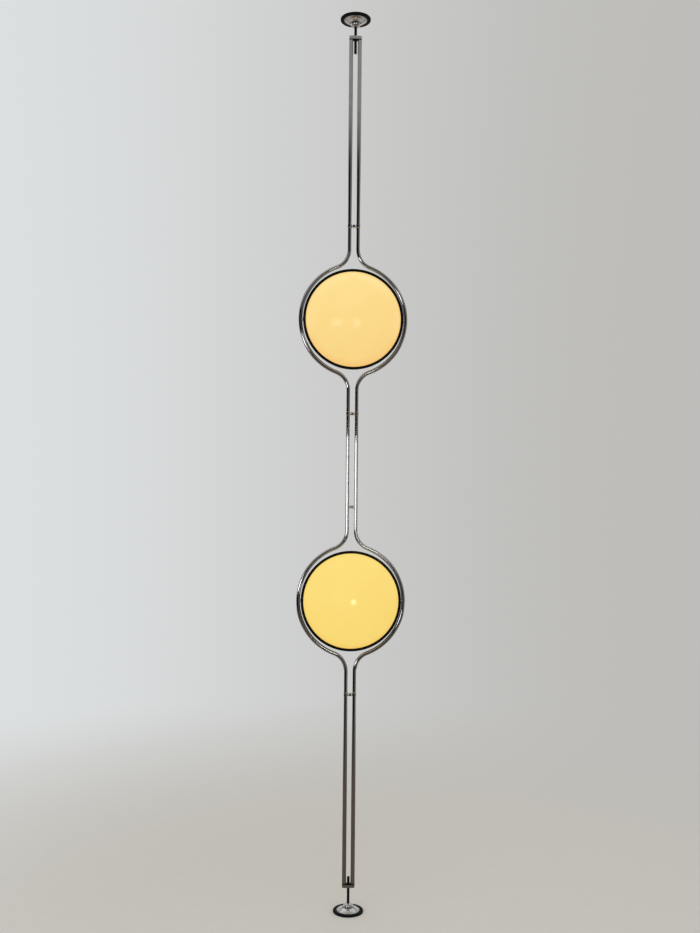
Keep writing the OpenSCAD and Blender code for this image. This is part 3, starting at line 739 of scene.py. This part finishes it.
def dish_shape():
    rim_in, top_r, rim_top = dish_r - DISH_RIM, hub_r + HUB_MARGIN, dish_z + DISH_T
    over = slope(rim_in, top_r, rim_top, dish_top, 0)
    under = slope(rim_in, top_r, rim_top, dish_top, DISH_T)
    edge = rounded([(rim_in - DISH_T, dish_z, 0), (dish_r, dish_z, 0.4 * MM),
                    (dish_r, rim_top, 0.4 * MM), (rim_in, rim_top, 0)])[1:-1]
    hole = [(COLLAR_R, dish_top), (COLLAR_R, dish_top - DISH_T)]
    return lathe(edge + over + hole + under[::-1], (0, 0, 0), steps=144)


both_ends(dish_shape, "dish", "foot", foot_chrome)
print(f"dishes {2 * dish_r / MM:.0f} mm across, {(dish_top - dish_z) / MM:.1f} mm high")

# %% [markdown]
# The hub is a small bell. Its flange has a rounded edge, a fine step separates it from the bell,
# and the bell ends in a flat ring round the screw. A crisp little groove like that step is a
# cheap way to make a casting read as two turned surfaces.

# %% Hubs
FLANGE_H = 1.5 * MM
STEP_W = 0.9 * MM
MOUTH_DEPTH, MOUTH_RIM = 4.5 * MM, 1 * MM
SPUN_W, SPUN_H = 1.5 * MM, 1.2 * MM
SCREW_ROOM = 0.1 * MM
JOURNAL_ROOM = 0.05 * MM
SCREW_R = span("lower_jack_screw")[1].x / 2
JOURNAL_R = 3 * MM


def hub_shape():
    top, flange_top, spun_top = hub_high.z, dish_top + FLANGE_H, hub_low.z + SPUN_H
    bell_r = top - dish_top - FLANGE_H
    bell = arc((hub_r - STEP_W - bell_r, flange_top), bell_r, 0, pi / 2, 24)
    bore, guide, spun_r = SCREW_R + SCREW_ROOM, JOURNAL_R + JOURNAL_ROOM, COLLAR_R + SPUN_W
    flange = rounded([
        (guide, hub_low.z, 0), (spun_r, hub_low.z, 0.3 * MM), (spun_r, spun_top, 0.3 * MM),
        (COLLAR_R, spun_top, 0), (COLLAR_R, dish_top, 0), (hub_r, dish_top, 0.4 * MM),
        (hub_r, flange_top, 0.5 * MM),
    ])
    mouth = rounded([
        (bore + MOUTH_RIM, top, 0), (bore, top, 0.4 * MM), (bore, top - MOUTH_DEPTH, 0),
        (guide, top - MOUTH_DEPTH, 0),
    ])
    return lathe(flange + bell + mouth[1:], (0, 0, 0), steps=128)


both_ends(hub_shape, "hub", "foot", foot_chrome)
print(f"hubs {2 * hub_r / MM:.0f} mm across, {(hub_high.z - dish_top) / MM:.1f} mm high")

# %% [markdown]
# ## Threads
#
# A screw thread is one notch of the outline, spun while it climbs. bmesh's spin takes a small
# move for each step, so a profile one pitch high that climbs one pitch a turn joins up with
# itself. The ends are cut off square, closed, and then drawn in to a chamfer, as a die leaves
# them.

# %% Threaded rods
NOTCH = ((0, 0), (0.36, 1), (0.60, 1), (0.96, 0), (1, 0))


def thread(mesh, core, crest, pitch, low, high, sides=28):
    """Spins a thread between two heights, cut square and closed at both ends."""
    start = low - 1.5 * pitch
    turns = int((high - low) / pitch) + 3
    verts = [mesh.verts.new((crest if raised else core, 0, start + share * pitch))
             for share, raised in NOTCH]
    line = [mesh.edges.new(pair) for pair in zip(verts, verts[1:])]
    bmesh.ops.spin(mesh, geom=verts + line, cent=(0, 0, 0), axis=(0, 0, 1), angle=tau * turns,
                   dvec=(0, 0, pitch / sides), steps=sides * turns, use_merge=False)
    bmesh.ops.remove_doubles(mesh, verts=mesh.verts, dist=2 * WELD)
    for height, up in ((low, -1), (high, 1)):
        everything = mesh.verts[:] + mesh.edges[:] + mesh.faces[:]
        cut = bmesh.ops.bisect_plane(mesh, geom=everything, plane_co=(0, 0, height),
                                     plane_no=(0, 0, up), clear_outer=True, dist=1e-7)
        rim = only(bmesh.types.BMEdge, cut["geom_cut"])
        bmesh.ops.triangle_fill(mesh, edges=rim, use_beauty=True, normal=(0, 0, up))


def chamfer_ends(mesh, core, low, high):
    """Draws the last pitch at each end in, towards the core."""
    for vert in mesh.verts:
        room = min(vert.co.z - low, high - vert.co.z)
        limit = core + max(room, 0)
        radius = hypot(vert.co.x, vert.co.y)
        if radius > limit:
            vert.co.x *= limit / radius
            vert.co.y *= limit / radius


print("one turn of the notch has", len(NOTCH), "corners")

# %% [markdown]
# The jack screw's lower end is a plain journal, on which the hub turns. A clip snaps into a
# groove behind the hub's bore and keeps the foot on the screw. Journal and thread are made as two
# bmeshes, and the journal joins the thread by way of a mesh that is thrown away.

# %% Jack screws
M8_PITCH = 1.25 * MM
THREAD_DEPTH = 0.65 * MM
CHAMFER = 0.2 * MM
screw_low, screw_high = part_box("lower_jack_screw")
THREAD_START = 21.1 * MM
CLIP_Z = 15.5 * MM
CLIP_H = 0.9 * MM
GROOVE_R = 2.5 * MM


def jack_screw_shape():
    mesh = bmesh.new()
    core = SCREW_R - THREAD_DEPTH
    thread(mesh, core, SCREW_R, M8_PITCH, THREAD_START, screw_high.z)
    chamfer_ends(mesh, core - CHAMFER, THREAD_START - 1 * MM, screw_high.z)
    journal = lathe(rounded([
        (0, screw_low.z, 0), (JOURNAL_R, screw_low.z, 0.5 * MM), (JOURNAL_R, CLIP_Z, 0),
        (GROOVE_R, CLIP_Z, 0), (GROOVE_R, CLIP_Z + CLIP_H, 0), (JOURNAL_R, CLIP_Z + CLIP_H, 0),
        (JOURNAL_R, THREAD_START, 0), (0, THREAD_START, 0),
    ]), (0, 0, 0), steps=64, closed=False)
    scrap = bpy.data.meshes.new("journal")
    journal.to_mesh(scrap)
    journal.free()
    mesh.from_mesh(scrap)
    bpy.data.meshes.remove(scrap)
    return mesh


both_ends(jack_screw_shape, "jack_screw", "screw", dark_steel)
print(f"jack screws with {(screw_high.z - THREAD_START) / M8_PITCH:.0f} turns of thread")

# %% [markdown]
# ## The heads
#
# A head is a chromed band with two ledges inside. A dome's flange sits on each ledge, and a thin
# bezel sprung into the band holds it there. From in front only the bezel and the band's edge
# show, with painted shade on their faces, as a dark line round the glowing dome, and the bezel's
# width sets how thick that line looks.

# %% Rings
RING_WALL = 2.4 * MM
LEDGE_H = 5 * MM
LEDGE_T = 1.5 * MM
BEZEL_W = 5.5 * MM
BEZEL_T = 1.6 * MM
FLANGE_T = 2.2 * MM
SEAT_GAP, SPRUNG_GAP = 0.1 * MM, 0.05 * MM
FRONT, BACK = -1, 1
bore_r = ring_r - RING_WALL
ledge_y = face_y - BEZEL_T - FLANGE_T - 2 * SEAT_GAP


def ring_shape(z):
    edge, inner = 0.4 * MM, bore_r - LEDGE_H
    half = [
        (ring_r, 0, 0), (ring_r, face_y, edge), (bore_r, face_y, 0.3 * MM),
        (bore_r, ledge_y, 0.2 * MM), (inner, ledge_y, 0.3 * MM),
        (inner, ledge_y - LEDGE_T, 0.3 * MM),
        (bore_r, ledge_y - LEDGE_T, 0.3 * MM), (bore_r, 0, 0),
    ]
    back = rounded(half)
    front = [Vector((p.x, -p.y)) for p in back[::-1][1:-1]]
    return lathe(back + front, (0, 0, z), axis=(0, 1, 0), steps=240)


print(f"a ring is {2 * ring_r / MM:.0f} mm across and {2 * face_y / MM:.0f} mm deep")

# %% [markdown]
# A dome is blown in a mould: part of a sphere with an even wall, a short straight neck, and a flat
# flange. Its outline runs along the inside, round the flange and back along the outside, and both
# ends lie on the axis, so the spin closes it.

# %% Domes
DOME_WALL = 3 * MM
DOME_STEPS = 56
dome_tip = abs(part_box("lower_head_front_dome")[0].y)
flange_r = span("lower_head_front_dome")[1].x / 2
dome_r = bore_r - BEZEL_W - SPRUNG_GAP - SEAT_GAP
dome_rise = dome_tip - face_y
sphere_r = (dome_r**2 + dome_rise**2) / (2 * dome_rise)
sphere_y = face_y + dome_rise - sphere_r


def dome_shape(z, side):
    inner_r, neck_y = sphere_r - DOME_WALL, face_y - sphere_y
    neck_in = sqrt(inner_r**2 - neck_y**2)
    flange_y = ledge_y + SEAT_GAP
    outer = arc((0, sphere_y), sphere_r, asin(neck_y / sphere_r), pi / 2, DOME_STEPS)
    inner = arc((0, sphere_y), inner_r, pi / 2, asin(neck_y / inner_r), DOME_STEPS)
    flange = rounded([
        (neck_in, flange_y, 0.2 * MM), (flange_r, flange_y, 0.3 * MM),
        (flange_r, flange_y + FLANGE_T, 0.3 * MM), (dome_r, flange_y + FLANGE_T, 0.2 * MM),
    ])
    outline = [(p[0], side * p[1]) for p in inner + flange + outer]
    return lathe(outline, (0, 0, z), axis=(0, 1, 0), steps=192, closed=False)


print(f"domes stand {dome_rise / MM:.0f} mm out, on a sphere of {sphere_r / MM:.0f} mm")

# %% [markdown]
# The bezel is a flat hoop. It fills the step between the band and the dome, a hair inside the
# band's bore, so it can be sprung in and out to change a bulb.


# %% Bezels
def bezel_shape(z, side):
    outer = bore_r - SPRUNG_GAP
    inner = outer - BEZEL_W
    outline = rounded([
        (inner, face_y - BEZEL_T, 0.2 * MM), (outer, face_y - BEZEL_T, 0),
        (outer, face_y, 0.3 * MM), (inner, face_y, 0.4 * MM),
    ])
    return lathe([(p[0], side * p[1]) for p in outline], (0, 0, z), axis=(0, 1, 0), steps=240)


for head in head_names:
    z = head_z[head]
    finish_piece(ring_shape(z), head + "_ring_chromed", head, ring_chrome, [head + "_ring"])
    for word, side in (("front", FRONT), ("back", BACK)):
        dome, bezel = f"{head}_{word}_dome", f"{head}_{word}_bezel"
        finish_piece(dome_shape(z, side), dome + "_opal", head, opal_glass[head], [dome])
        finish_piece(bezel_shape(z, side), bezel + "_chromed", head, ring_chrome, [bezel])
print(f"bezels {BEZEL_W / MM:.1f} mm wide, pieces so far:", len(pieces))

# %% [markdown]
# ## Pieces whose shape is already right
#
# Clamps, caps, nuts and the like are exact in the construction model, but their mesh is loose
# triangles, which a mirror finish would show as facets. A copy is welded, its flat faces are made
# one face each, and it is shaded smooth up to its sharp edges.

# %% Welded copies
FLAT = radians(0.5)


def refine(node, material):
    """Adds a welded, smoothly shaded copy of a piece of the construction model."""
    mesh = bmesh.new()
    mesh.from_mesh(nodes[node].data)
    bmesh.ops.remove_doubles(mesh, verts=mesh.verts, dist=2 * WELD)
    bmesh.ops.dissolve_limit(mesh, angle_limit=FLAT, verts=mesh.verts, edges=mesh.edges)
    finish_piece(mesh, node + "_finished", nodes[node]["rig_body"], material, [node], outward=False)


for part in ("lower_end_cap", "upper_end_cap"):
    refine(part, cap_chrome)
for number in range(1, 5):
    refine(f"clamp_front_{number}", pressed_chrome)
    refine(f"clamp_back_{number}", pressed_chrome)
refine("clamp_screws", dark_steel)
refine("cable_bush", bush_plastic)
refine("pivot_washers", washer_nylon)
for part in ("joint_sleeves", "pivots", "pivot_spring_washers", "pivot_nuts"):
    refine(part, zinc_plate)
for level in ("lower", "upper"):
    refine(level + "_screw_clip", zinc_plate)
refine("power_lead", sheath)
for head in head_names:
    refine(head + "_holder_bracket", zinc_plate)
    refine(head + "_nuts", zinc_plate)
    refine(head + "_lampholder", white_porcelain)
    refine(head + "_bulb", lit_bulb)
    refine(head + "_lead", sheath)
print("pieces so far:", len(pieces))

# %% [markdown]
# ## The studio
#
# Chrome shows its surroundings more than itself, so a plain grey studio would make it look like
# plastic. The world is plain and pale to the camera and to matt surfaces. A mirror finish sees a
# room instead: a pale wall behind the lamp, a dark space in front that is a little lighter on the
# right, a grey ceiling and a brown floor. An upright tube mirrors the ceiling near its top and
# the floor near its foot, which is why its tone changes on the way up. The dishes lie flat and
# mirror what is steeply above or below them, so the room is pale again there.

# %% World
DARK, DIM = (0.003, 0.003, 0.003, 1), (0.19, 0.18, 0.17, 1)
CEILING, FLOOR_BROWN = (0.31, 0.305, 0.295, 1), (0.115, 0.092, 0.072, 1)
BACK_WALL, BACK_CEILING = (0.74, 0.73, 0.71, 1), (0.36, 0.355, 0.345, 1)
OVERHEAD, SOFT_LIGHT = (0.85, 0.85, 0.85, 1), (0.62, 0.61, 0.59, 1)
BACK_FLOOR, UNDERFOOT = (0.15, 0.125, 0.10, 1), (0.46, 0.44, 0.41, 1)
BACKDROP_LEFT, BACKDROP_RIGHT = rgb(221, 224, 225), rgb(190, 189, 186)


def studio_world():
    """The heights are those of a view direction: 0 is level, and 1 is straight up or down."""
    world = bpy.data.worlds.new("studio")
    bpy.context.scene.world = world
    world.use_nodes = True
    net = Net(world.node_tree)
    net.tree.nodes.clear()
    x, y, z = net.parts(net.node("ShaderNodeTexCoord"))
    up, down = z, 0 - z
    front = net.blend(x.between(0.05, 0.65), DARK, DIM)
    front = net.blend(up.between(0.31, 0.37), front, CEILING)
    front = net.blend(down.between(0.19, 0.30), front, FLOOR_BROWN)
    back = net.blend(up.between(0.27, 0.33), BACK_WALL, BACK_CEILING)
    back = net.blend(up.between(0.55, 0.75), back, OVERHEAD)
    back = net.blend(down.between(0.19, 0.28), back, BACK_FLOOR)
    back = net.blend(down.between(0.40, 0.50), back, UNDERFOOT)
    room = net.blend(y.between(-0.12, 0.35), front, back)
    wall = net.blend(x.between(-0.32, 0.34), BACKDROP_LEFT, BACKDROP_RIGHT)
    rays = [Value(net, output) for output in net.node("ShaderNodeLightPath").socket.node.outputs]
    is_camera, is_glossy = rays[0], rays[3]
    matt = net.node("ShaderNodeBackground", (), {"Color": SOFT_LIGHT})
    seen = net.node("ShaderNodeBackground", (), {"Color": wall})
    mirrored_room = net.node("ShaderNodeBackground", (), {"Color": room})
    shown = net.node("ShaderNodeMixShader", (), {0: is_glossy, 1: matt, 2: mirrored_room})
    shown = net.node("ShaderNodeMixShader", (), {0: is_camera, 1: shown, 2: seen})
    net.node("ShaderNodeOutputWorld", (), {"Surface": shown}, output=None)


studio_world()
bpy.context.scene.view_settings.view_transform = "Standard"
print("world:", bpy.context.scene.world.name)

# %% [markdown]
# The floor is a plain pale sheet that fades into the backdrop, so no edge crosses the picture.

# %% Floor
FLOOR_SIZE = 12.0
FADE_FROM, FADE_TO = 0.5, 3.2


def studio_floor():
    mesh = bmesh.new()
    bmesh.ops.create_grid(mesh, x_segments=1, y_segments=1, size=FLOOR_SIZE / 2)
    data = bpy.data.meshes.new("floor")
    mesh.to_mesh(data)
    mesh.free()
    floor = bpy.data.objects.new("floor", data)
    bpy.context.scene.collection.objects.link(floor)
    mix = Recipe("floor_finish", "floor")
    where = mix.place()
    x, y, z = mix.parts(where)
    far = ((x * x + y * y) ** 0.5).between(FADE_FROM, FADE_TO)
    grain = mix.noise(where, 30, detail=4)
    colour = mix.blend(grain, (0.76, 0.74, 0.70, 1), (0.80, 0.78, 0.74, 1))
    mix.surface(Base_Color=colour, Roughness=0.7, Normal=mix.bump(grain, 0.2 * MM))
    solid, clear = Value(mix, mix.shader.outputs[0]), mix.node("ShaderNodeBsdfTransparent")
    shown = mix.node("ShaderNodeMixShader", (), {0: far, 1: solid, 2: clear})
    mix.feed(mix.tree.nodes["Material Output"].inputs["Surface"], shown)
    data.materials.append(mix.material)
    floor.visible_glossy = False


studio_floor()
print(f"a floor of {FLOOR_SIZE:.0f} m, which fades out {FADE_TO} m away")

# %% [markdown]
# Two windows stand behind the camera, one to the left and a narrower one to the right. They are
# area lights at the height of the lamp's middle, and only there do the upright tubes carry a
# bright streak. A larger, weaker panel overhead fills the tops of the pieces. It hides from
# mirrors, so that the chrome stays calm.

# %% Lights
WINDOW_AWAY = 4.0
WINDOW_HEIGHT = 1.27
WINDOW_TALL = 0.70
WINDOW_RADIANCE = 4.6
DAYLIGHT = (1.0, 0.985, 0.96)
FILL_POWER = 10


def panel(name, place, aim, size, power, colour, in_mirrors=True):
    light = bpy.data.lights.new(name, "AREA")
    light.shape = "RECTANGLE"
    light.size, light.size_y = size
    light.energy = power
    light.color = colour
    lamp = bpy.data.objects.new(name, light)
    bpy.context.scene.collection.objects.link(lamp)
    lamp.location = place
    lamp.rotation_euler = (Vector(aim) - Vector(place)).to_track_quat("-Z", "Y").to_euler()
    lamp.visible_glossy = in_mirrors
    lamp.visible_camera = False


def window(name, turn, width):
    """turn is measured from the front, towards the right."""
    place = (WINDOW_AWAY * sin(turn), -WINDOW_AWAY * cos(turn), WINDOW_HEIGHT)
    power = WINDOW_RADIANCE * pi * width * WINDOW_TALL
    panel(name, place, (0, 0, WINDOW_HEIGHT), (width, WINDOW_TALL), power, DAYLIGHT)


window("left_window", turn=radians(-36), width=1.4)
window("right_window", turn=radians(6.5), width=0.65)
panel("ceiling_fill", place=(0.3, -1.2, 3.6), aim=(0, 0, 1.2), size=(2.4, 2.4),
      power=FILL_POWER, colour=(1, 1, 1), in_mirrors=False)
print("lights:", [light.name for light in bpy.data.lights])

# %% [markdown]
# ## The camera
#
# The photograph was taken level, at chest height, just under three metres away, so both ends of
# the lamp are seen at a slant. The lamp leans half a degree to the right in it, which is the
# camera's roll, and a small shift puts the horizon where it is in the picture.

# %% Camera
PHOTO_W, PHOTO_H = 700, 933
FOCAL_PIXELS = 992
HORIZON_PIXEL = 496
CAMERA_AWAY = 2.89
CAMERA_TURN = radians(-3.5)
LAMP_PIXEL = 351.6
CAMERA_ROLL = radians(0.5)
SENSOR = 24.0
CAMERA_HEIGHT = 1.21

lens = bpy.data.cameras.new("camera")
lens.sensor_fit = "VERTICAL"
lens.sensor_height = SENSOR
lens.lens = FOCAL_PIXELS / PHOTO_H * SENSOR
lens.shift_y = (HORIZON_PIXEL - PHOTO_H / 2) / PHOTO_H
camera = bpy.data.objects.new("camera", lens)
bpy.context.scene.collection.objects.link(camera)
camera.location = (CAMERA_AWAY * sin(CAMERA_TURN), -CAMERA_AWAY * cos(CAMERA_TURN), CAMERA_HEIGHT)
aside = (LAMP_PIXEL - PHOTO_W / 2) / FOCAL_PIXELS
level_view = Matrix.Rotation(CAMERA_TURN + aside, 3, "Z") @ Matrix.Rotation(pi / 2, 3, "X")
camera.rotation_euler = (level_view @ Matrix.Rotation(CAMERA_ROLL, 3, "Z")).to_euler()
bpy.context.scene.camera = camera
print("camera", tuple(round(c, 3) for c in camera.location), f"lens {lens.lens:.1f} mm")

# %% [markdown]
